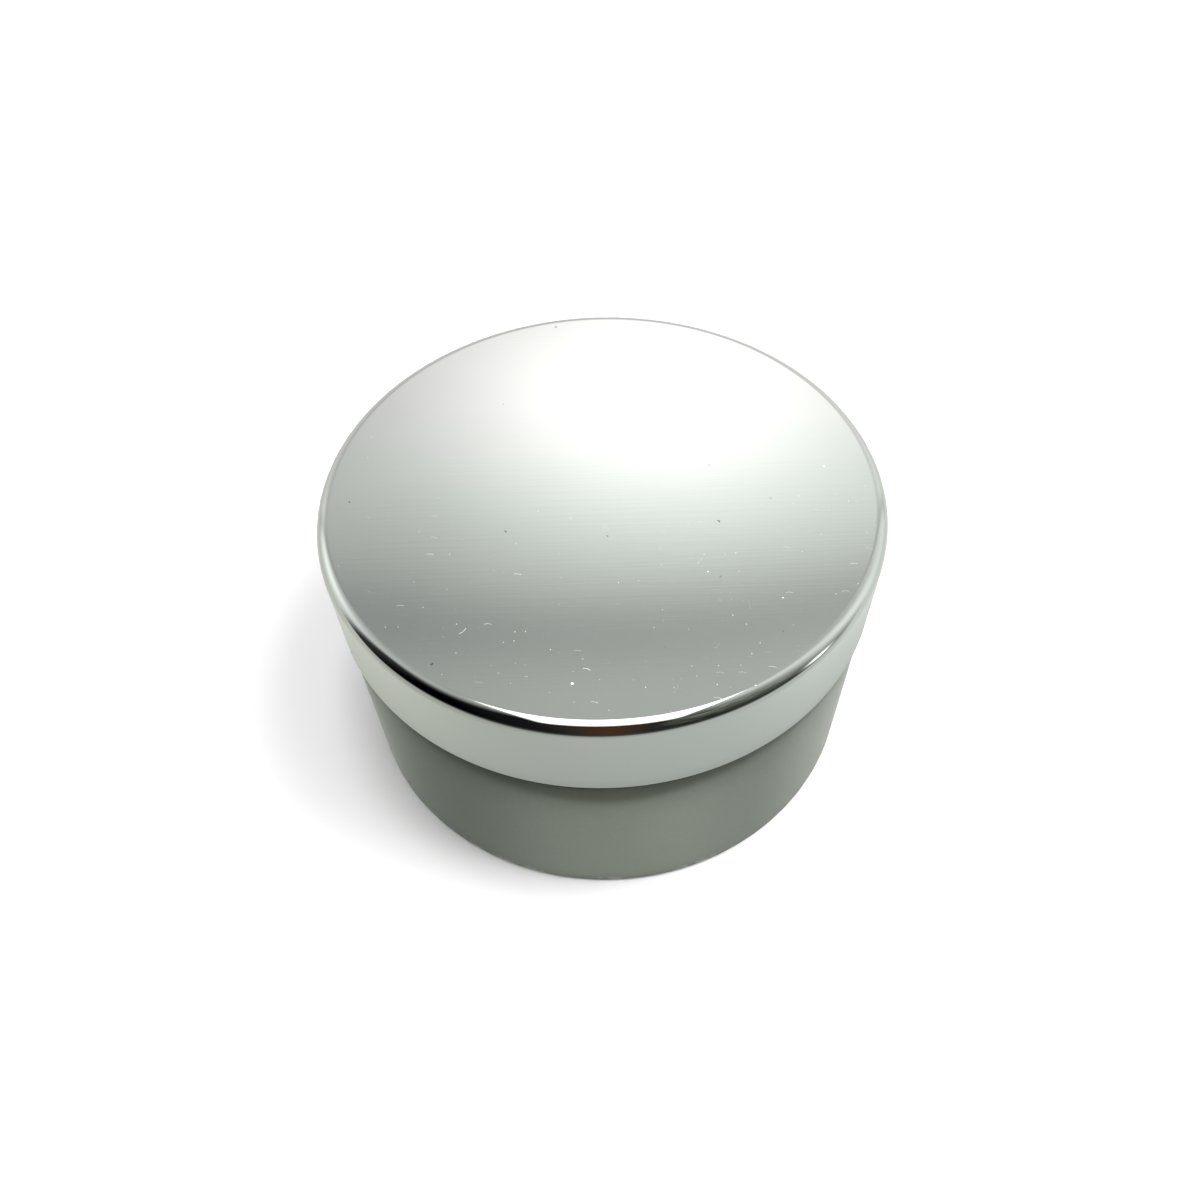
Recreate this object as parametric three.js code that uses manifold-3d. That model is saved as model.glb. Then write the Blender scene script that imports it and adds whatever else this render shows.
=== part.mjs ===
// A lidded dappen dish: a thick glass dish that hangs in a metal-cased pot, under a slip-on metal lid.
// Millimetres, +Z up. The origin is the centre of the face that the dish stands on.

import * as THREE from "three";
import { mergeVertices } from "three/addons/utils/BufferGeometryUtils.js";
import Module from "manifold-3d";

const wasm = await Module();
wasm.setup();

// ---- Overall sizes ----
const LID_DIAMETER = 60;
const OVERALL_HEIGHT = 33.4;
const LID_DEPTH = 10.4; // from the top of the lid to the lower edge of its skirt
const LID_OVERHANG = 0.3; // how far the skirt stands out past the pot all round
const LID_EDGE_GAP = 0.5; // between the skirt's lower edge and the pot's rim

// ---- Lid ----
const LID_WALL = 0.6;
const LID_SHOULDER_RADIUS = 1.4;
const CAP_WALL = 1.1;
const CAP_TOP_THICKNESS = 1.0;
const CAP_EDGE_RECESS = 0.6; // the inner cap ends this far above the skirt's lower edge
const SEAL_THICKNESS = 0.8;
const SEAL_EDGE_CLEARANCE = 0.4;
const RIB_COUNT = 16;
const RIB_WIDTH = 1.2;
const RIB_HEIGHT = 4.5;
const RIB_ROOT = 0.4; // how deep a rib's root runs into the cap's wall

// ---- Pot ----
const POT_WALL = 0.8;
const POT_BASE_THICKNESS = 0.8;
const POT_CORNER_RADIUS = 0.35;
const SLEEVE_NECK_WALL = 2.2;
const GASKET_THICKNESS = 0.6;
const FOOT_THICKNESS = 1.2;
const FOOT_PROUD = 0.2; // how far the pad stands out below the pot shell
const FOOT_MARGIN = 6.0; // from the pot's side to the pad's edge
const FOOT_CHAMFER = 0.3;

// ---- Glass dish ----
const GLASS_WALL = 2.4;
const GLASS_CORNER_RADIUS = 2.0;
const FLANGE_THICKNESS = 1.6;
const FLANGE_SETBACK = 0.6; // the flange ends this far inside the neck's outside
const FLANGE_EDGE_RADIUS = 0.5;
const RIM_RADIUS = 0.7; // rounding of the rim where it turns down into the well
const WELL_DEPTH = 19.0;
const DISH_FLOOR_GAP = 1.0; // under the glass

// ---- Clearances ----
const BOND_LINE = 0.05; // between pieces that are glued or pressed together
const NECK_CLEARANCE = 0.4; // between the cap's bore and the neck
const RIB_CLEARANCE = 0.1; // between the ribs and the neck
const DISH_CLEARANCE = 0.3; // round the glass, in the sleeve
const SEAL_CLEARANCE = 0.05; // between the seal disc and the glass rim
const SEAT_CLEARANCE = 0.05; // between the glass flange and the gasket
const FOOT_CLEARANCE = 0.2; // round the pad, in its recess

// ---- Resolution of the round shapes ----
const SIDES = 64;
const ARC_STEPS = 2; // half the facets of each rounding
const WELL_STEPS = 4; // the same, for the glass

// ---- Radii that follow ----
const lidRadius = LID_DIAMETER / 2;
const capRadius = lidRadius - LID_WALL - BOND_LINE;
const capBore = capRadius - CAP_WALL;
const sealRadius = capBore - SEAL_EDGE_CLEARANCE;
const neckRadius = capBore - NECK_CLEARANCE;
const potRadius = lidRadius - LID_OVERHANG;
const potBore = potRadius - POT_WALL;
const sleeveRadius = potBore - BOND_LINE;
const sleeveBore = neckRadius - SLEEVE_NECK_WALL;
const glassRadius = sleeveBore - DISH_CLEARANCE;
const flangeRadius = neckRadius - FLANGE_SETBACK;
const wellRadius = glassRadius - GLASS_WALL;
const footRadius = potRadius - FOOT_MARGIN;
const recessRadius = footRadius + FOOT_CLEARANCE;

// ---- Heights that follow, from the top down ----
const capTop = OVERALL_HEIGHT - LID_WALL - BOND_LINE;
const capCeiling = capTop - CAP_TOP_THICKNESS;
const sealTop = capCeiling - BOND_LINE;
const sealBottom = sealTop - SEAL_THICKNESS;
const glassRim = sealBottom - SEAL_CLEARANCE;
const flangeUnderside = glassRim - FLANGE_THICKNESS;
const gasketTop = flangeUnderside - SEAT_CLEARANCE;
const gasketBottom = gasketTop - GASKET_THICKNESS;
const sleeveTop = gasketBottom - BOND_LINE;
const lidEdge = OVERALL_HEIGHT - LID_DEPTH;
const capEdge = lidEdge + CAP_EDGE_RECESS;
const potRim = lidEdge - LID_EDGE_GAP;

// ---- Heights that follow, from the bottom up ----
const potBottom = FOOT_PROUD;
const potFloor = potBottom + POT_BASE_THICKNESS;
const recessTop = FOOT_THICKNESS + BOND_LINE;
const raisedFloor = recessTop + POT_BASE_THICKNESS;
const sleeveBottom = potFloor + BOND_LINE;
const glassBottom = raisedFloor + DISH_FLOOR_GAP;

// ---- Materials ----
const polishedMetal = { color: 0xd6d9d6, roughness: 0.06, metalness: 1.0 };
const satinMetal = { color: 0x868b84, roughness: 0.42, metalness: 0.85 };
const whitePlastic = { color: 0xe4e5e0, roughness: 0.45, metalness: 0.0 };
const greyPlastic = { color: 0xb9bcb8, roughness: 0.4, metalness: 0.0 };
const softFoam = { color: 0xefefea, roughness: 0.85, metalness: 0.0 };
const silicone = { color: 0xd3d8d6, roughness: 0.55, metalness: 0.0 };
const darkRubber = { color: 0x2c2e2d, roughness: 0.85, metalness: 0.0 };
const clearGlass = {
  color: 0xf2f8f6,
  roughness: 0.03,
  metalness: 0.0,
  transparent: true,
  opacity: 0.35,
};

// ---- Shape helpers ----

// A closed round body about Z. The outline is drawn on a path as radius and height.
function turned(draw, arcSteps = ARC_STEPS) {
  const path = new THREE.Path();
  draw(path);
  const geometry = new THREE.LatheGeometry(path.getPoints(arcSteps), SIDES);
  return geometry.rotateX(Math.PI / 2);
}

// A flat ring or disc of rectangular section.
function ring(innerRadius, outerRadius, bottom, top) {
  return turned((path) => {
    path.moveTo(innerRadius, bottom);
    path.lineTo(outerRadius, bottom);
    path.lineTo(outerRadius, top);
    path.lineTo(innerRadius, top);
    if (innerRadius > 0) path.lineTo(innerRadius, bottom);
  });
}

function toSolid(geometry) {
  const bare = geometry.index ? geometry.toNonIndexed() : geometry.clone();
  bare.deleteAttribute("normal");
  bare.deleteAttribute("uv");
  const merged = mergeVertices(bare, 1e-3);
  return new wasm.Manifold(
    new wasm.Mesh({
      numProp: 3,
      vertProperties: merged.attributes.position.array,
      triVerts: new Uint32Array(merged.index.array),
    }),
  );
}

function toGeometry(solid) {
  const mesh = solid.getMesh();
  const geometry = new THREE.BufferGeometry();
  geometry.setAttribute("position", new THREE.BufferAttribute(mesh.vertProperties, 3));
  geometry.setIndex(new THREE.BufferAttribute(mesh.triVerts, 1));
  geometry.computeVertexNormals();
  return geometry;
}

const dish = new THREE.Group();

function add(name, geometry, look) {
  const mesh = new THREE.Mesh(geometry, new THREE.MeshStandardMaterial(look));
  mesh.name = name;
  dish.add(mesh);
}

// ---- Lid ----

// The drawn cap: a flat top that rolls over a small shoulder into a straight skirt.
function lidShell() {
  const shoulder = LID_SHOULDER_RADIUS;
  const insideShoulder = shoulder - LID_WALL;
  const shoulderHeight = OVERALL_HEIGHT - shoulder;
  return turned((path) => {
    path.moveTo(0, OVERALL_HEIGHT - LID_WALL);
    path.lineTo(lidRadius - shoulder, OVERALL_HEIGHT - LID_WALL);
    path.absarc(lidRadius - shoulder, shoulderHeight, insideShoulder, Math.PI / 2, 0, true);
    path.lineTo(lidRadius - LID_WALL, lidEdge);
    path.lineTo(lidRadius, lidEdge);
    path.lineTo(lidRadius, shoulderHeight);
    path.absarc(lidRadius - shoulder, shoulderHeight, shoulder, 0, Math.PI / 2, false);
    path.lineTo(0, OVERALL_HEIGHT);
  });
}

// The moulded cap that lines the shell, with upright ribs on its bore that grip the neck.
function lidInnerCap() {
  const corner = LID_SHOULDER_RADIUS - LID_WALL;
  let cap = toSolid(
    turned((path) => {
      path.moveTo(0, capCeiling);
      path.lineTo(capBore, capCeiling);
      path.lineTo(capBore, capEdge);
      path.lineTo(capRadius, capEdge);
      path.lineTo(capRadius, capTop - corner);
      path.absarc(capRadius - corner, capTop - corner, corner, 0, Math.PI / 2, false);
      path.lineTo(0, capTop);
    }),
  );
  const ribFace = neckRadius + RIB_CLEARANCE;
  const ribDepth = capBore + RIB_ROOT - ribFace;
  for (let i = 0; i < RIB_COUNT; i++) {
    const rib = new THREE.BoxGeometry(ribDepth, RIB_WIDTH, RIB_HEIGHT);
    rib.translate(ribFace + ribDepth / 2, 0, capEdge + RIB_HEIGHT / 2);
    rib.rotateZ((2 * Math.PI * i) / RIB_COUNT);
    cap = cap.add(toSolid(rib));
  }
  return toGeometry(cap);
}

add("lid_shell", lidShell(), polishedMetal);
add("lid_inner_cap", lidInnerCap(), whitePlastic);
add("lid_seal_disc", ring(0, sealRadius, sealBottom, sealTop), softFoam);

// ---- Pot ----

// The outer cup: straight sides, a small round bottom corner and a base pressed up in the middle,
// which makes the recess for the foot pad below and a ring that the sleeve stands on inside.
function potShell() {
  const corner = POT_CORNER_RADIUS;
  const step = recessRadius + POT_BASE_THICKNESS;
  return turned((path) => {
    path.moveTo(0, recessTop);
    path.lineTo(recessRadius, recessTop);
    path.lineTo(recessRadius, potBottom);
    path.lineTo(potRadius - corner, potBottom);
    path.absarc(potRadius - corner, potBottom + corner, corner, -Math.PI / 2, 0, false);
    path.lineTo(potRadius, potRim);
    path.lineTo(potBore, potRim);
    path.lineTo(potBore, potFloor);
    path.lineTo(step, potFloor);
    path.lineTo(step, raisedFloor);
    path.lineTo(0, raisedFloor);
  });
}

// The moulded sleeve: it lines the shell up to the rim and goes on as the narrower neck.
function neckSleeve() {
  return turned((path) => {
    path.moveTo(sleeveBore, sleeveBottom);
    path.lineTo(sleeveRadius, sleeveBottom);
    path.lineTo(sleeveRadius, potRim);
    path.lineTo(neckRadius, potRim);
    path.lineTo(neckRadius, sleeveTop);
    path.lineTo(sleeveBore, sleeveTop);
    path.lineTo(sleeveBore, sleeveBottom);
  });
}

// The pad's lower edge is chamfered, so that it doesn't peel.
function footPad() {
  return turned((path) => {
    path.moveTo(0, 0);
    path.lineTo(footRadius - FOOT_CHAMFER, 0);
    path.lineTo(footRadius, FOOT_CHAMFER);
    path.lineTo(footRadius, FOOT_THICKNESS);
    path.lineTo(0, FOOT_THICKNESS);
  });
}

add("pot_shell", potShell(), satinMetal);
add("neck_sleeve", neckSleeve(), greyPlastic);
add("dish_gasket", ring(sleeveBore, flangeRadius, gasketBottom, gasketTop), silicone);
add("foot_pad", footPad(), darkRubber);

// ---- Glass dish ----

// A heavy-bottomed glass with an oval bowl for a well. It hangs by its flange on the gasket.
function glassDish() {
  return turned((path) => {
    const corner = GLASS_CORNER_RADIUS;
    const edge = FLANGE_EDGE_RADIUS;
    path.moveTo(0, glassBottom);
    path.lineTo(glassRadius - corner, glassBottom);
    path.absarc(glassRadius - corner, glassBottom + corner, corner, -Math.PI / 2, 0, false);
    path.lineTo(glassRadius, flangeUnderside);
    path.lineTo(flangeRadius, flangeUnderside);
    path.lineTo(flangeRadius, glassRim - edge);
    path.absarc(flangeRadius - edge, glassRim - edge, edge, 0, Math.PI / 2, false);
    path.lineTo(wellRadius + RIM_RADIUS, glassRim);
    path.absarc(
      wellRadius + RIM_RADIUS, glassRim - RIM_RADIUS, RIM_RADIUS, Math.PI / 2, Math.PI, false,
    );
    path.absellipse(
      0, glassRim - RIM_RADIUS, wellRadius, WELL_DEPTH - RIM_RADIUS, 0, -Math.PI / 2, true,
    );
  }, WELL_STEPS);
}

add("glass_dish", glassDish(), clearGlass);

export default dish;
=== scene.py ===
"""A closed dappen dish: a satin grey pot with a glass dish inside, under a mirror-polished slip-on lid."""

import math

import bmesh
import bpy
from mathutils import Matrix, Quaternion, Vector


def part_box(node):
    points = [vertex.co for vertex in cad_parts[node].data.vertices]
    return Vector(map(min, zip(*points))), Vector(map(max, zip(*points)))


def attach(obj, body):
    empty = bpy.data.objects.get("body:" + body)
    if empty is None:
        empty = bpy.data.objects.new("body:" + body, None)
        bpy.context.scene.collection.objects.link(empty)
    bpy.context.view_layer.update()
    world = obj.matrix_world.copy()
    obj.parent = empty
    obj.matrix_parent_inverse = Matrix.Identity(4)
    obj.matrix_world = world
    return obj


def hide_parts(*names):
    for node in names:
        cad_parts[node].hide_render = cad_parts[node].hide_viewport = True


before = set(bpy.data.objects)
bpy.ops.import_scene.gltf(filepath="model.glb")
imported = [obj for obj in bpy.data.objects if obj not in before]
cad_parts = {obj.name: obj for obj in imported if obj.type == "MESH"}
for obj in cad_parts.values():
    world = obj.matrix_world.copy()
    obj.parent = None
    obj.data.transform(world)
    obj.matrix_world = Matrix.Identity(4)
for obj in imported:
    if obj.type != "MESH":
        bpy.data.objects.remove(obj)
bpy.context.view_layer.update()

MM = 0.001

# ---- Sizes, from the CAD nodes' boxes ----


def reach(node):
    """(outer radius, lowest z, highest z) of a round CAD node, in metres."""
    low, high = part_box(node)
    return (high.x - low.x) / 2, low.z, high.z


LID_R, LID_EDGE, LID_TOP = reach("lid_shell")
CAP_R, CAP_EDGE, CAP_TOP = reach("lid_inner_cap")
SEAL_R, SEAL_LOW, SEAL_TOP = reach("lid_seal_disc")
POT_R, POT_LOW, POT_RIM = reach("pot_shell")
SLEEVE_R, SLEEVE_LOW, SLEEVE_TOP = reach("neck_sleeve")
GASKET_R, GASKET_LOW, GASKET_TOP = reach("dish_gasket")
FLANGE_R, GLASS_LOW, GLASS_RIM = reach("glass_dish")
FOOT_R, FOOT_LOW, FOOT_TOP = reach("foot_pad")

# ---- Sizes inside the pieces, the same as in the CAD source ----

LID_WALL = 0.6 * MM
LID_SHOULDER = 1.4 * MM
CAP_WALL = 1.1 * MM
CAP_CORNER = 0.8 * MM
RIB_COUNT = 16
RIB_WIDTH = 1.2 * MM
RIB_HEIGHT = 4.5 * MM
RIB_CLEARANCE = 0.1 * MM
NECK_CLEARANCE = 0.4 * MM
POT_WALL = 0.8 * MM
POT_CORNER = 0.35 * MM
NECK_WALL = 2.2 * MM
DISH_CLEARANCE = 0.3 * MM
GLASS_WALL = 2.4 * MM
GLASS_CORNER = 2.0 * MM
FLANGE_THICKNESS = 1.6 * MM
FLANGE_EDGE = 0.5 * MM
RIM_ROUND = 0.7 * MM
WELL_DEPTH = 19.0 * MM
FOOT_GAP = 0.2 * MM
BOND_LINE = 0.05 * MM
EDGE_BREAK = 0.12 * MM  # the small rounding that a real edge has

CAP_BORE = CAP_R - CAP_WALL
NECK_R = CAP_BORE - NECK_CLEARANCE
SLEEVE_BORE = NECK_R - NECK_WALL
GLASS_R = SLEEVE_BORE - DISH_CLEARANCE
WELL_R = GLASS_R - GLASS_WALL

# ---- Mesh helpers ----


def arc(r, z, radius, start, end, steps=10, radius_z=None):
    """Points of an arc about (r, z), from one angle to another, in degrees. 0 is outwards and 90 is up."""
    tall = radius if radius_z is None else radius_z
    turns = [math.radians(start + (end - start) * i / steps) for i in range(steps + 1)]
    return [(r + radius * math.cos(a), z + tall * math.sin(a)) for a in turns]


def spread(outline, longest=1.5 * MM):
    """The outline with its long straight stretches divided, so that the faces stay even."""
    points = [outline[0]]
    for (r0, z0), (r1, z1) in zip(outline, outline[1:]):
        steps = max(1, math.ceil(math.hypot(r1 - r0, z1 - z0) / longest))
        for i in range(1, steps + 1):
            points.append((r0 + (r1 - r0) * i / steps, z0 + (z1 - z0) * i / steps))
    return points


def turned(name, outline, segments=256, sharp=35, shape=None, longest=1.5 * MM):
    """A closed round body about Z. The outline runs counter-clockwise as (radius, height): it starts and ends
    on the axis, or ends where it starts. shape(radius, height, turn) may change a point's radius."""
    points = spread(outline, longest)
    on_axis = points[0][0] < 1e-9
    if not on_axis:
        points = points[:-1]
    mesh = bmesh.new()
    rings = []
    for r, z in points:
        if r < 1e-9:
            rings.append([mesh.verts.new((0, 0, z))] * segments)
            continue
        ring = []
        for i in range(segments):
            turn = 2 * math.pi * i / segments
            radius = shape(r, z, turn) if shape else r
            ring.append(mesh.verts.new((radius * math.cos(turn), radius * math.sin(turn), z)))
        rings.append(ring)
    pairs = list(zip(rings, rings[1:]))
    if not on_axis:
        pairs.append((rings[-1], rings[0]))
    for low, high in pairs:
        for i in range(segments):
            j = (i + 1) % segments
            corners = []
            for v in (low[i], low[j], high[j], high[i]):
                if v not in corners:
                    corners.append(v)
            if len(corners) > 2:
                mesh.faces.new(corners)
    bmesh.ops.recalc_face_normals(mesh, faces=mesh.faces)
    data = bpy.data.meshes.new(name)
    mesh.to_mesh(data)
    mesh.free()
    for face in data.polygons:
        face.use_smooth = True
    data.set_sharp_from_angle(angle=math.radians(sharp))
    piece = bpy.data.objects.new(name, data)
    bpy.context.scene.collection.objects.link(piece)
    return piece


def stand_for(piece, node, body, material):
    """The piece takes the CAD node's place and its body."""
    piece.data.materials.append(material)
    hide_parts(node)
    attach(piece, body)


# ---- Material helpers ----


class Look:
    """A node material under construction: short calls for the nodes that the looks below share."""

    def __init__(self, name):
        self.material = bpy.data.materials.new(name)
        self.material.use_nodes = True
        self.tree = self.material.node_tree
        self.shader = self.tree.nodes["Principled BSDF"]
        self.output = self.tree.nodes["Material Output"]
        self.place = self.node("ShaderNodeTexCoord").outputs["Object"]

    def node(self, kind, **settings):
        made = self.tree.nodes.new(kind)
        for key, value in settings.items():
            setattr(made, key, value)
        return made

    def link(self, value, socket):
        if isinstance(value, bpy.types.NodeSocket):
            self.tree.links.new(value, socket)
        else:
            socket.default_value = value

    def math(self, operation, a, b=0.0, clamp=False):
        made = self.node("ShaderNodeMath", operation=operation, use_clamp=clamp)
        self.link(a, made.inputs[0])
        self.link(b, made.inputs[1])
        return made.outputs[0]

    def product(self, *values):
        made = values[0]
        for value in values[1:]:
            made = self.math("MULTIPLY", made, value)
        return made

    def split(self, vector):
        """The three parts of a vector."""
        made = self.node("ShaderNodeSeparateXYZ")
        self.link(vector, made.inputs[0])
        return made.outputs

    def stretched(self, x, y, z):
        """The piece's own coordinates, in metres, times a factor on each axis."""
        made = self.node("ShaderNodeMapping")
        self.link(self.place, made.inputs["Vector"])
        made.inputs["Scale"].default_value = (x, y, z)
        return made.outputs["Vector"]

    def noise(self, scale, detail=3.0, roughness=0.5, vector=None):
        made = self.node("ShaderNodeTexNoise")
        self.link(vector or self.place, made.inputs["Vector"])
        made.inputs["Scale"].default_value = scale
        made.inputs["Detail"].default_value = detail
        made.inputs["Roughness"].default_value = roughness
        return made.outputs["Fac"]

    def remap(self, value, low, high, to_low, to_high, smooth=False):
        made = self.node("ShaderNodeMapRange")
        if smooth:
            made.interpolation_type = "SMOOTHSTEP"
        self.link(value, made.inputs["Value"])
        for name, number in (("From Min", low), ("From Max", high), ("To Min", to_low), ("To Max", to_high)):
            made.inputs[name].default_value = number
        return made.outputs["Result"]

    def blend(self, factor, a, b):
        """A colour between a and b."""
        made = self.node("ShaderNodeMix", data_type="RGBA")
        self.link(factor, made.inputs["Factor"])
        self.link(a, made.inputs[6])
        self.link(b, made.inputs[7])
        return made.outputs[2]

    def bump(self, height, distance, strength=1.0, under=None):
        made = self.node("ShaderNodeBump")
        self.link(height, made.inputs["Height"])
        made.inputs["Distance"].default_value = distance
        made.inputs["Strength"].default_value = strength
        if under is not None:
            self.link(under, made.inputs["Normal"])
        return made.outputs["Normal"]

    def set(self, **sockets):
        """Sets or links the shader's sockets: Base_Color stands for Base Color, and so on."""
        for key, value in sockets.items():
            self.link(value, self.shader.inputs[key.replace("_", " ")])


def rgb(r, g, b):
    return (r, g, b, 1.0)


# ---- Materials ----


def marks(look, cell, share, radius, length=0.0, swing=math.tau):
    """A mask of dots or short bent hairs scattered over the XY plane. Each cell of the given size has one, in
    a random place and turned from X by up to the swing. Only a share of the cells keep theirs, and the
    smaller ones are fainter."""
    smallest = 0.4
    faintest = 0.35
    bend = 0.4 / max(length, radius)
    soft_edge = 0.35 * radius
    cells = look.node("ShaderNodeTexVoronoi", voronoi_dimensions="2D", feature="F1")
    look.link(look.place, cells.inputs["Vector"])
    cells.inputs["Scale"].default_value = 1 / cell
    pick = look.node("ShaderNodeSeparateColor")
    look.link(cells.outputs["Color"], pick.inputs[0])
    away = look.node("ShaderNodeVectorMath", operation="SUBTRACT")
    look.link(look.place, away.inputs[0])
    look.link(cells.outputs["Position"], away.inputs[1])
    spin = look.node("ShaderNodeVectorRotate", rotation_type="Z_AXIS")
    look.link(away.outputs[0], spin.inputs["Vector"])
    look.link(look.product(pick.outputs["Blue"], swing), spin.inputs["Angle"])
    along, across, _ = look.split(spin.outputs[0])
    beyond = look.math("MAXIMUM", look.math("SUBTRACT", look.math("ABSOLUTE", along), length / 2), 0.0)
    bent = look.math("ADD", across, look.product(along, along, bend))
    gap = look.math("SQRT", look.math("ADD", look.math("POWER", beyond, 2.0), look.math("POWER", bent, 2.0)))
    size = look.remap(pick.outputs["Green"], 0.0, 1.0, smallest * radius, radius)
    inside = look.remap(look.math("SUBTRACT", gap, size), -soft_edge, soft_edge, 1.0, 0.0)
    strength = look.math("POWER", look.remap(pick.outputs["Green"], 0.0, 1.0, faintest, 1.0), 2.0)
    kept = look.math("LESS_THAN", pick.outputs["Red"], share)
    return look.product(inside, kept, strength)


def mirror_metal():
    """Polished plate: nearly a mirror, with faint drawing lines. Its upper face has some dust, hairs, short
    scratches and dark pits, and the dust is thicker towards the front right."""
    look = Look("mirror_metal")
    facing = look.split(look.node("ShaderNodeNewGeometry").outputs["Normal"])[2]
    top_only = look.remap(facing, 0.96, 0.995, 0.0, 1.0)

    plate = look.blend(look.noise(60, detail=2.0), rgb(0.585, 0.585, 0.580), rgb(0.615, 0.615, 0.610))
    lines = look.noise(1.0, detail=4.0, roughness=0.65, vector=look.stretched(60, 2400, 60))
    wave = look.noise(70, detail=1.0)

    across, back, _ = look.split(look.place)
    front_right = look.math("SUBTRACT", back, look.product(across, 0.5))
    dusty = look.remap(front_right, 0.012, -0.030, 0.06, 1.0, smooth=True)
    patchy = look.remap(look.noise(110, detail=2.0), 0.40, 0.60, 0.25, 1.0)
    share = look.product(dusty, patchy)
    specks = marks(look, 1.1 * MM, look.product(share, 0.50), 0.065 * MM)
    flecks = marks(look, 3.4 * MM, look.product(share, 0.16), 0.14 * MM)
    hairs = marks(look, 4.6 * MM, look.product(share, 0.45), 0.030 * MM, 0.9 * MM)
    scratches = marks(look, 2.9 * MM, look.product(share, 0.80), 0.030 * MM, 0.7 * MM, swing=0.4)
    faint = look.product(look.math("MAXIMUM", specks, look.math("MAXIMUM", hairs, scratches)), 0.30)
    dust = look.math("MULTIPLY", look.math("MAXIMUM", flecks, faint), top_only, clamp=True)
    pits = look.product(marks(look, 5.5 * MM, 0.22, 0.09 * MM, 0.15 * MM), top_only)

    polish = look.remap(look.noise(900, detail=2.0), 0.3, 0.7, 0.035, 0.06)
    dusted = look.blend(dust, plate, rgb(0.92, 0.93, 0.92))
    look.set(
        Base_Color=look.blend(pits, dusted, rgb(0.20, 0.21, 0.20)),
        Metallic=look.math("SUBTRACT", 1.0, dust),
        Roughness=look.math("ADD", polish, look.product(dust, 0.7)),
        Normal=look.bump(lines, 0.0016 * MM, under=look.bump(wave, 0.004 * MM)),
    )
    return look.material


def satin_metal():
    """Grey anodised metal, finely brushed round its side, so that its shine is spread up and down. Painted
    shade makes its colour a little darker towards the foot, and the corner that it stands on is rubbed bright
    in places."""
    look = Look("satin_metal")
    tone = look.noise(45, detail=3.0)
    grain = look.noise(9000, detail=2.0, roughness=0.6)
    brushed = look.noise(1.0, detail=3.0, roughness=0.6, vector=look.stretched(120, 120, 5200))
    tangent = look.node("ShaderNodeTangent", direction_type="RADIAL", axis="Z")
    height = look.split(look.place)[2]

    plate = look.blend(tone, rgb(0.235, 0.260, 0.225), rgb(0.28, 0.300, 0.265))
    # painted shade: the colour darkens towards the foot to stand in for the shade there
    painted_foot_shade = look.product(look.remap(height, 0.0, 0.016, 0.45, 0.0), look.remap(tone, 0.35, 0.65, 0.6, 1.0))
    plate = look.blend(painted_foot_shade, plate, rgb(0.15, 0.165, 0.14))
    rubbed = look.remap(look.noise(650), 0.52, 0.62, 0.0, 1.0)
    rubbed = look.product(look.remap(height, 0.0003, 0.0014, 0.7, 0.0), rubbed)
    look.set(
        Base_Color=look.blend(rubbed, plate, rgb(0.50, 0.51, 0.48)),
        Metallic=1.0,
        Roughness=look.remap(look.noise(2500, detail=2.0), 0.3, 0.7, 0.58, 0.66),
        Anisotropic=0.95,
        Anisotropic_Rotation=0.25,
        Sheen_Weight=0.26,
        Sheen_Roughness=0.3,
        Tangent=tangent.outputs[0],
        Normal=look.bump(grain, 0.003 * MM, 0.5, under=look.bump(brushed, 0.0012 * MM)),
    )
    return look.material


def moulded_plastic(name, colour, other, roughness=0.45):
    """Injection-moulded plastic: faint flow marks and an eggshell texture."""
    look = Look(name)
    tone = look.noise(120, detail=3.0)
    look.set(
        Base_Color=look.blend(tone, colour, other),
        Roughness=look.remap(look.noise(1500), 0.3, 0.7, roughness - 0.05, roughness + 0.07),
        Normal=look.bump(look.noise(5000, detail=2.0), 0.006 * MM, 0.5),
    )
    return look.material


def seal_foam():
    """Fine closed-cell foam with a slightly sunk skin."""
    look = Look("seal_foam")
    cells = look.node("ShaderNodeTexVoronoi", feature="F1")
    look.link(look.place, cells.inputs["Vector"])
    cells.inputs["Scale"].default_value = 4200
    look.set(
        Base_Color=look.blend(look.noise(200), rgb(0.86, 0.86, 0.84), rgb(0.92, 0.92, 0.90)),
        Roughness=look.remap(look.noise(900), 0.3, 0.7, 0.75, 0.92),
        Normal=look.bump(cells.outputs["Distance"], 0.05 * MM, 0.7),
    )
    return look.material


def silicone():
    look = Look("silicone")
    look.shader.inputs["Transmission Weight"].default_value = 0.35
    look.shader.inputs["IOR"].default_value = 1.41
    look.set(
        Base_Color=look.blend(look.noise(250), rgb(0.70, 0.74, 0.73), rgb(0.78, 0.81, 0.80)),
        Roughness=look.remap(look.noise(1800), 0.3, 0.7, 0.40, 0.55),
        Normal=look.bump(look.noise(3500), 0.01 * MM, 0.4),
    )
    return look.material


def clear_glass():
    """Pressed glass, fire polished: faint waviness and a breath of grease."""
    look = Look("clear_glass")
    look.shader.inputs["Transmission Weight"].default_value = 1.0
    look.shader.inputs["IOR"].default_value = 1.52
    look.set(
        Base_Color=look.blend(look.noise(90), rgb(0.955, 0.985, 0.975), rgb(0.985, 0.995, 0.99)),
        Roughness=look.remap(look.noise(220, detail=4.0), 0.4, 0.75, 0.008, 0.035),
        Normal=look.bump(look.noise(85, detail=1.0), 0.02 * MM, 0.5),
    )
    return look.material


def foot_rubber():
    look = Look("foot_rubber")
    look.set(
        Base_Color=look.blend(look.noise(300), rgb(0.020, 0.021, 0.021), rgb(0.045, 0.046, 0.045)),
        Roughness=look.remap(look.noise(2200), 0.3, 0.7, 0.72, 0.90),
        Normal=look.bump(look.noise(6000, detail=3.0), 0.03 * MM, 0.6),
    )
    return look.material


# ---- Lid ----


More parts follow.
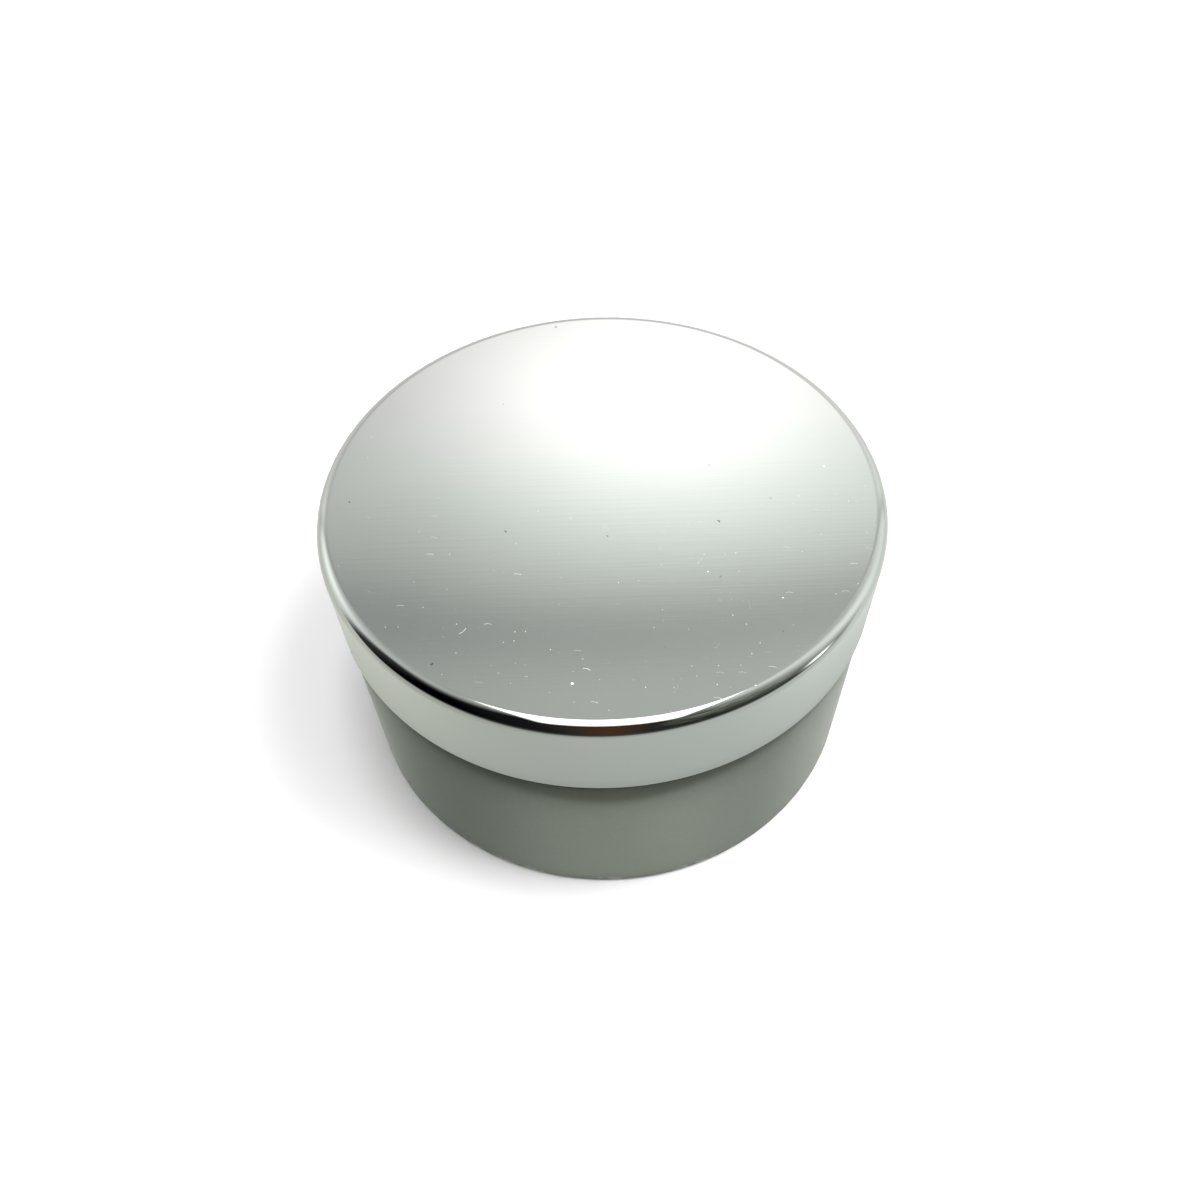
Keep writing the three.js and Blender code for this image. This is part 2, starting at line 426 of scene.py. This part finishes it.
def lid_shell():
    """The drawn cap, with the small hem that a trimmed skirt has."""
    shoulder_z = LID_TOP - LID_SHOULDER
    inner = LID_R - LID_WALL
    flat_rim = 0.1 * MM  # a narrow ring that keeps the flat top's shading off the shoulder
    outline = [(0, LID_TOP - LID_WALL)]
    outline += arc(LID_R - LID_SHOULDER, shoulder_z, LID_SHOULDER - LID_WALL, 90, 0)
    outline += arc(inner + EDGE_BREAK, LID_EDGE + EDGE_BREAK, EDGE_BREAK, 180, 270, steps=5)
    outline += arc(LID_R - EDGE_BREAK, LID_EDGE + EDGE_BREAK, EDGE_BREAK, 270, 360, steps=5)
    outline += arc(LID_R - LID_SHOULDER, shoulder_z, LID_SHOULDER, 0, 90, steps=24)
    outline += [(LID_R - LID_SHOULDER - flat_rim, LID_TOP), (0, LID_TOP)]
    return turned("lid_shell_polished", outline, segments=320)


def lid_inner_cap():
    """The moulded liner, with rounded ribs on its bore."""
    rib_face = NECK_R + RIB_CLEARANCE
    rib_depth = CAP_BORE - rib_face
    ceiling = SEAL_TOP + BOND_LINE
    rib_top = CAP_EDGE + RIB_HEIGHT
    run_out = 1.2 * MM

    def shape(r, z, turn):
        on_bore = abs(r - CAP_BORE) < 0.01 * MM and z < rib_top
        if not on_bore:
            return r
        pitch = 2 * math.pi / RIB_COUNT
        away = abs((turn + pitch / 2) % pitch - pitch / 2) * CAP_BORE
        across = max(0.0, 1 - (away / (RIB_WIDTH / 2)) ** 2)
        fade = min(1.0, (rib_top - z) / run_out)
        return r - rib_depth * math.sqrt(across) * fade

    outline = [(0, ceiling), (CAP_BORE, ceiling), (CAP_BORE, CAP_EDGE), (CAP_R, CAP_EDGE)]
    outline += arc(CAP_R - CAP_CORNER, CAP_TOP - CAP_CORNER, CAP_CORNER, 0, 90, steps=6)
    outline += [(0, CAP_TOP)]
    return turned("lid_inner_cap_moulded", outline, segments=768, shape=shape, longest=0.8 * MM)


def lid_seal_disc():
    """The foam disc, its edge slightly rounded where it was punched out."""
    edge = 0.2 * MM
    outline = [(0, SEAL_LOW)]
    outline += arc(SEAL_R - edge, SEAL_LOW + edge, edge, 270, 360, steps=4)
    outline += arc(SEAL_R - edge, SEAL_TOP - edge, edge, 0, 90, steps=4)
    outline += [(0, SEAL_TOP)]
    return turned("lid_seal_foam", outline)


# ---- Pot ----


def pot_shell():
    """The satin cup: a round bottom corner, a soft upper edge and the pressed-up base."""
    recess_r = FOOT_R + FOOT_GAP
    recess_top = FOOT_TOP + BOND_LINE
    floor = POT_LOW + POT_WALL
    bore = POT_R - POT_WALL
    step = recess_r + POT_WALL
    outline = [(0, recess_top), (recess_r, recess_top), (recess_r, POT_LOW + EDGE_BREAK)]
    outline += arc(recess_r + EDGE_BREAK, POT_LOW + EDGE_BREAK, EDGE_BREAK, 180, 270, steps=4)
    outline += arc(POT_R - POT_CORNER, POT_LOW + POT_CORNER, POT_CORNER, 270, 360, steps=12)
    outline += arc(POT_R - EDGE_BREAK, POT_RIM - EDGE_BREAK, EDGE_BREAK, 0, 90, steps=4)
    outline += arc(bore + EDGE_BREAK, POT_RIM - EDGE_BREAK, EDGE_BREAK, 90, 180, steps=4)
    outline += [(bore, floor), (step, floor), (step, recess_top + POT_WALL), (0, recess_top + POT_WALL)]
    return turned("pot_shell_satin", outline)


def neck_sleeve():
    """The moulded sleeve, with a lead-in round the top of the neck and a shallow groove below it."""
    lead = 0.5 * MM
    groove_depth = 0.25 * MM
    groove_z = (POT_RIM + SLEEVE_TOP) / 2
    outline = [(SLEEVE_BORE, SLEEVE_LOW), (SLEEVE_R, SLEEVE_LOW), (SLEEVE_R, POT_RIM), (NECK_R, POT_RIM)]
    outline += arc(NECK_R, groove_z, groove_depth, 270, 90, steps=6)
    outline += arc(NECK_R - lead, SLEEVE_TOP - lead, lead, 0, 90, steps=6)
    outline += [(SLEEVE_BORE, SLEEVE_TOP), (SLEEVE_BORE, SLEEVE_LOW)]
    return turned("neck_sleeve_moulded", outline)


def dish_gasket():
    """The soft ring, round at its outer and inner edges."""
    half = (GASKET_TOP - GASKET_LOW) / 2
    middle = (GASKET_TOP + GASKET_LOW) / 2
    outline = arc(GASKET_R - half, middle, half, -90, 90, steps=8)
    outline += arc(SLEEVE_BORE + half, middle, half, 90, 270, steps=8)
    outline += [outline[0]]
    return turned("dish_gasket_soft", outline)


def foot_pad():
    """The pad, with shallow rings moulded into its underside for grip."""
    ring_pitch = 3.0 * MM
    ring_depth = 0.25 * MM
    rim_width = 2.0 * MM
    rim_slope = 0.2 * MM
    chamfer = 0.3 * MM
    outline = [(0, FOOT_LOW + ring_depth)]
    radius = ring_pitch
    while radius < FOOT_R - ring_pitch:
        outline += [
            (radius, FOOT_LOW + ring_depth),
            (radius + ring_depth, FOOT_LOW),
            (radius + ring_pitch - 2 * ring_depth, FOOT_LOW),
            (radius + ring_pitch - ring_depth, FOOT_LOW + ring_depth),
        ]
        radius += 1.5 * ring_pitch
    outline += [
        (FOOT_R - rim_width - rim_slope, FOOT_LOW + ring_depth),
        (FOOT_R - rim_width, FOOT_LOW),
        (FOOT_R - chamfer, FOOT_LOW),
        (FOOT_R, FOOT_LOW + chamfer),
        (FOOT_R, FOOT_TOP),
        (0, FOOT_TOP),
    ]
    return turned("foot_pad_ribbed", outline)


# ---- Glass dish ----


def glass_dish():
    """The thick dish: a hollowed base, a flange that rests on the gasket, and a round well."""
    under_flange = GLASS_RIM - FLANGE_THICKNESS
    fillet = 0.4 * MM
    hollow_r = 0.6 * GLASS_R
    hollow_depth = 0.6 * MM
    outline = arc(0, GLASS_LOW, hollow_r, 90, 0, steps=12, radius_z=hollow_depth)
    outline += arc(GLASS_R - GLASS_CORNER, GLASS_LOW + GLASS_CORNER, GLASS_CORNER, 270, 360, steps=12)
    outline += arc(GLASS_R + fillet, under_flange - fillet, fillet, 180, 90, steps=5)
    outline += arc(FLANGE_R - fillet / 2, under_flange + fillet / 2, fillet / 2, 270, 360, steps=4)
    outline += arc(FLANGE_R - FLANGE_EDGE, GLASS_RIM - FLANGE_EDGE, FLANGE_EDGE, 0, 90, steps=8)
    outline += arc(WELL_R + RIM_ROUND, GLASS_RIM - RIM_ROUND, RIM_ROUND, 90, 180, steps=8)
    outline += arc(0, GLASS_RIM - RIM_ROUND, WELL_R, 0, -90, steps=40, radius_z=WELL_DEPTH - RIM_ROUND)
    return turned("glass_dish_pressed", outline)


# ---- Stage ----

CAMERA_DISTANCE = 106.5 * MM  # from the middle of the lid's top
CAMERA_ELEVATION = 45.43
CAMERA_TILT = -6.49
CAMERA_PAN = -0.25
CAMERA_ROLL = -1.87
LENS = 30.05

SOFT_LIGHT = 0.58  # the plain white light from all round


def camera():
    elevation = math.radians(CAMERA_ELEVATION)
    target = Vector((0, 0, LID_TOP))
    back = Vector((0, -math.cos(elevation), math.sin(elevation)))
    made = bpy.data.objects.new("camera", bpy.data.cameras.new("camera"))
    bpy.context.scene.collection.objects.link(made)
    made.location = target + back * CAMERA_DISTANCE
    made.rotation_mode = "QUATERNION"
    turn = (-back).to_track_quat("-Z", "Y")
    turn = turn @ Quaternion((1, 0, 0), math.radians(CAMERA_TILT))
    turn = turn @ Quaternion((0, 1, 0), math.radians(-CAMERA_PAN))
    turn = turn @ Quaternion((0, 0, 1), math.radians(CAMERA_ROLL))
    made.rotation_quaternion = turn
    made.data.lens = LENS
    made.data.sensor_width = 36
    made.data.clip_start = 0.002
    bpy.context.scene.camera = made


class Sky(Look):
    """The same short calls, on the world's nodes."""

    def __init__(self, world):
        self.tree = world.node_tree
        self.place = self.node("ShaderNodeTexCoord").outputs["Generated"]

    def bell(self, value, middle, width):
        """1 at the middle, falling off smoothly at about the width on each side."""
        off = self.math("DIVIDE", self.math("SUBTRACT", value, middle), width)
        return self.math("EXPONENT", self.math("MULTIPLY", self.math("MULTIPLY", off, off), -1.0))


def reflected_room(sky):
    """Brightness and colour of what shiny surfaces show in each direction: a window glow behind the dish, a
    ceiling panel above it, pale walls at the back and the sides, a narrow bright window far to the right, and
    a dim side behind the camera, brown in the middle and green to the right."""
    x, y, z = sky.split(sky.place)
    rise = sky.math("ARCSINE", z)
    turn = sky.math("ARCTAN2", x, y)

    def glow(azimuth, half_width, elevation, half_height, strength):
        """A soft patch of light. Angles are in degrees, and azimuth turns from the back to the right."""
        across = sky.bell(turn, math.radians(azimuth), math.radians(half_width))
        upright = sky.bell(rise, math.radians(elevation), math.radians(half_height))
        return sky.product(across, upright, strength)

    def ramps(*steps):
        """The product of smooth steps, each (value, low, high, to_low, to_high)."""
        return sky.product(*[sky.remap(*step, smooth=True) for step in steps])

    def without(value, shade):
        return sky.product(value, sky.math("SUBTRACT", 1.0, shade))

    walls = sky.remap(y, -0.36, 0.19, 0.01, 0.65, smooth=True)
    for patch in (
        glow(4.5, 17, 40.5, 8, 1.30),
        glow(-61, 18, 29, 16.5, 0.85),
        glow(55, 45, 25, 22, 0.45),
        sky.product(ramps((y, 0.0, 0.2, 0.0, 1.0), (z, 0.5, 0.1, 0.0, 1.0)), 0.19),
        sky.product(sky.bell(x, 0.0, 0.20), sky.remap(y, -0.45, -0.6, 0.0, 1.0), 0.075),
    ):
        walls = sky.math("ADD", walls, patch)
    lintel = sky.product(sky.bell(y, 0.592, 0.035), 0.24)
    front_left = sky.math("SUBTRACT", 1.0, sky.remap(y, -0.02, 0.2, 0.1, 1.0, smooth=True))
    front_left = sky.product(front_left, sky.remap(x, -0.50, -0.72, 0.0, 1.0))
    back_left = sky.product(sky.bell(x, -0.24, 0.13), sky.remap(z, 0.69, 0.76, 0.0, 0.14))
    for shade in (lintel, front_left, back_left):
        walls = without(walls, shade)

    slant = sky.math("ADD", y, sky.product(sky.math("ABSOLUTE", x), 0.6))
    panel = ramps(
        (slant, 0.44, 0.36, 0.0, 1.0),
        (y, -0.50, -0.32, 0.0, 1.0),
        (x, -0.30, -0.23, 0.0, 1.0),
        (x, 0.31, 0.25, 0.0, 1.0),
        (z, 0.2, 0.6, 0.0, 1.0),
    )
    right_wall = ramps(
        (x, 0.2, 0.4, 0.0, 0.43),
        (y, -0.9, 0.1, 0.3, 1.0),
        (y, 0.45, 0.1, 0.0, 1.0),
        (z, 0.1, 0.7, 0.2, 1.0),
    )
    clutter = sky.math("SUBTRACT", sky.remap(sky.noise(9.0, detail=2.0), 0.38, 0.62, 0.35, 1.5), 1.0)
    clutter = sky.product(sky.remap(y, -0.3, -0.45, 0.0, 1.0), clutter)
    right_wall = sky.product(right_wall, sky.math("ADD", 1.0, clutter))
    light = walls
    for part in (sky.product(panel, 2.6), right_wall, glow(107, 4.6, 6.5, 7, 3.0)):
        light = sky.math("ADD", light, part)

    tint = sky.blend(sky.remap(x, 0.08, 0.28, 0.0, 1.0), rgb(1.0, 0.53, 0.28), rgb(0.86, 1.0, 0.78))
    tint = sky.blend(sky.remap(x, -0.28, -0.08, 0.0, 1.0), rgb(0.95, 1.0, 0.94), tint)
    tint = sky.blend(sky.remap(y, -0.55, -0.25, 0.0, 1.0), tint, rgb(0.938, 1.0, 0.945))
    tint = sky.blend(sky.remap(y, 0.69, 0.75, 0.0, 1.0), tint, rgb(1.0, 1.0, 0.985))
    return light, tint


def room():
    """Glossy rays see the reflected room. Everything else is lit by plain soft white, and the camera sees
    white."""
    world = bpy.data.worlds.new("room")
    bpy.context.scene.world = world
    world.use_nodes = True
    world.cycles.sampling_method = "NONE"
    world.node_tree.nodes.clear()
    sky = Sky(world)
    rays = sky.node("ShaderNodeLightPath").outputs
    light, tint = reflected_room(sky)
    reflected = sky.node("ShaderNodeBackground")
    sky.link(light, reflected.inputs["Strength"])
    sky.link(tint, reflected.inputs["Color"])
    plain = sky.node("ShaderNodeBackground")
    plain.inputs["Color"].default_value = rgb(1, 1, 1)
    sky.link(sky.remap(rays["Is Camera Ray"], 0.0, 1.0, SOFT_LIGHT, 1.0), plain.inputs["Strength"])
    either = sky.node("ShaderNodeMixShader")
    sky.link(rays["Is Glossy Ray"], either.inputs[0])
    sky.link(plain.outputs[0], either.inputs[1])
    sky.link(reflected.outputs[0], either.inputs[2])
    sky.link(either.outputs[0], sky.node("ShaderNodeOutputWorld").inputs["Surface"])


def floor():
    """A pale table top, white to the camera far away. Polished metal shows it greyer, as a painted
    reflection: to glossy rays it glows instead of being lit, with painted shade round the dish's foot and
    painted dimming towards the camera."""
    bpy.ops.mesh.primitive_grid_add(x_subdivisions=4, y_subdivisions=4, size=6.0)
    made = bpy.context.object
    made.name = "table_top"
    look = Look("table_top")
    look.material.cycles.emission_sampling = "NONE"
    rays = look.node("ShaderNodeLightPath").outputs
    x, y, _ = look.split(look.place)
    out = look.math("SQRT", look.math("ADD", look.math("POWER", x, 2.0), look.math("POWER", y, 2.0)))
    look.set(
        Base_Color=look.blend(look.noise(12), rgb(0.93, 0.93, 0.93), rgb(0.95, 0.95, 0.95)),
        Roughness=0.8,
        Specular_IOR_Level=0.0,
        Emission_Color=rgb(1, 1, 1),
        Emission_Strength=look.product(look.remap(out, 0.10, 0.35, 0.0, 0.5), rays["Is Camera Ray"]),
    )

    # painted reflection: glossy rays see this glow, not lit floor; its strength holds painted shade round the
    # foot and towards the camera
    level = look.remap(y, -0.049, -0.014, 0.68, 0.87, smooth=True)
    level = look.math("ADD", level, look.remap(x, -0.060, 0.060, -0.090, 0.078))
    own_shade = look.remap(out, 0.029, 0.0505, 0.58, 1.0, smooth=True)
    towards_camera = look.remap(y, -0.206, -0.073, 0.09, 1.0)
    tint = look.blend(look.remap(x, -0.045, 0.0, 0.0, 1.0), rgb(0.952, 1.0, 0.889), rgb(0.922, 1.0, 0.932))
    reflected = look.node("ShaderNodeEmission")
    look.link(tint, reflected.inputs["Color"])
    look.link(look.product(own_shade, towards_camera, level), reflected.inputs["Strength"])
    either = look.node("ShaderNodeMixShader")
    look.link(rays["Is Glossy Ray"], either.inputs[0])
    look.link(look.shader.outputs[0], either.inputs[1])
    look.link(reflected.outputs[0], either.inputs[2])
    look.link(either.outputs[0], look.output.inputs["Surface"])
    made.data.materials.append(look.material)


def lamp(name, place, depth, power, width=None, shine=False):
    """A soft lamp that faces the dish, square unless it has a width along X. It lights only matt surfaces, or
    with shine only shiny ones."""
    data = bpy.data.lights.new(name, "AREA")
    data.shape = "RECTANGLE"
    data.size = width or depth
    data.size_y = depth
    data.energy = power
    made = bpy.data.objects.new(name, data)
    bpy.context.scene.collection.objects.link(made)
    made.location = place
    made.rotation_mode = "QUATERNION"
    back = (Vector(place) - Vector((0, 0, LID_TOP / 2))).normalized()
    across = Vector((0, 1, 0)).cross(back).normalized()
    made.rotation_quaternion = Matrix((across, back.cross(across), back)).transposed().to_quaternion()
    made.visible_diffuse = not shine
    made.visible_glossy = shine


bpy.context.scene.view_settings.view_transform = "Standard"
camera()
room()
floor()
lamp("side_lamp", (0.21, -0.03, 0.40), depth=0.20, power=1.5)
lamp("ceiling_lamp", (0, -0.01, 0.45), depth=0.11, power=0.8)
lamp("ceiling_shine", (0.009, -0.01, 0.45), depth=0.11, width=0.205, power=7.2, shine=True)
lamp("far_shine", (0.02, -0.153, 1.5), depth=0.05, width=0.55, power=9.5, shine=True)

stand_for(lid_shell(), "lid_shell", "lid", mirror_metal())
cap_look = moulded_plastic("cap_plastic", rgb(0.80, 0.81, 0.79), rgb(0.86, 0.87, 0.85))
stand_for(lid_inner_cap(), "lid_inner_cap", "lid", cap_look)
stand_for(lid_seal_disc(), "lid_seal_disc", "lid", seal_foam())
stand_for(pot_shell(), "pot_shell", "pot", satin_metal())
sleeve_look = moulded_plastic("sleeve_plastic", rgb(0.60, 0.62, 0.60), rgb(0.66, 0.68, 0.66))
stand_for(neck_sleeve(), "neck_sleeve", "pot", sleeve_look)
stand_for(dish_gasket(), "dish_gasket", "pot", silicone())
stand_for(foot_pad(), "foot_pad", "pot", foot_rubber())
stand_for(glass_dish(), "glass_dish", "dish", clear_glass())
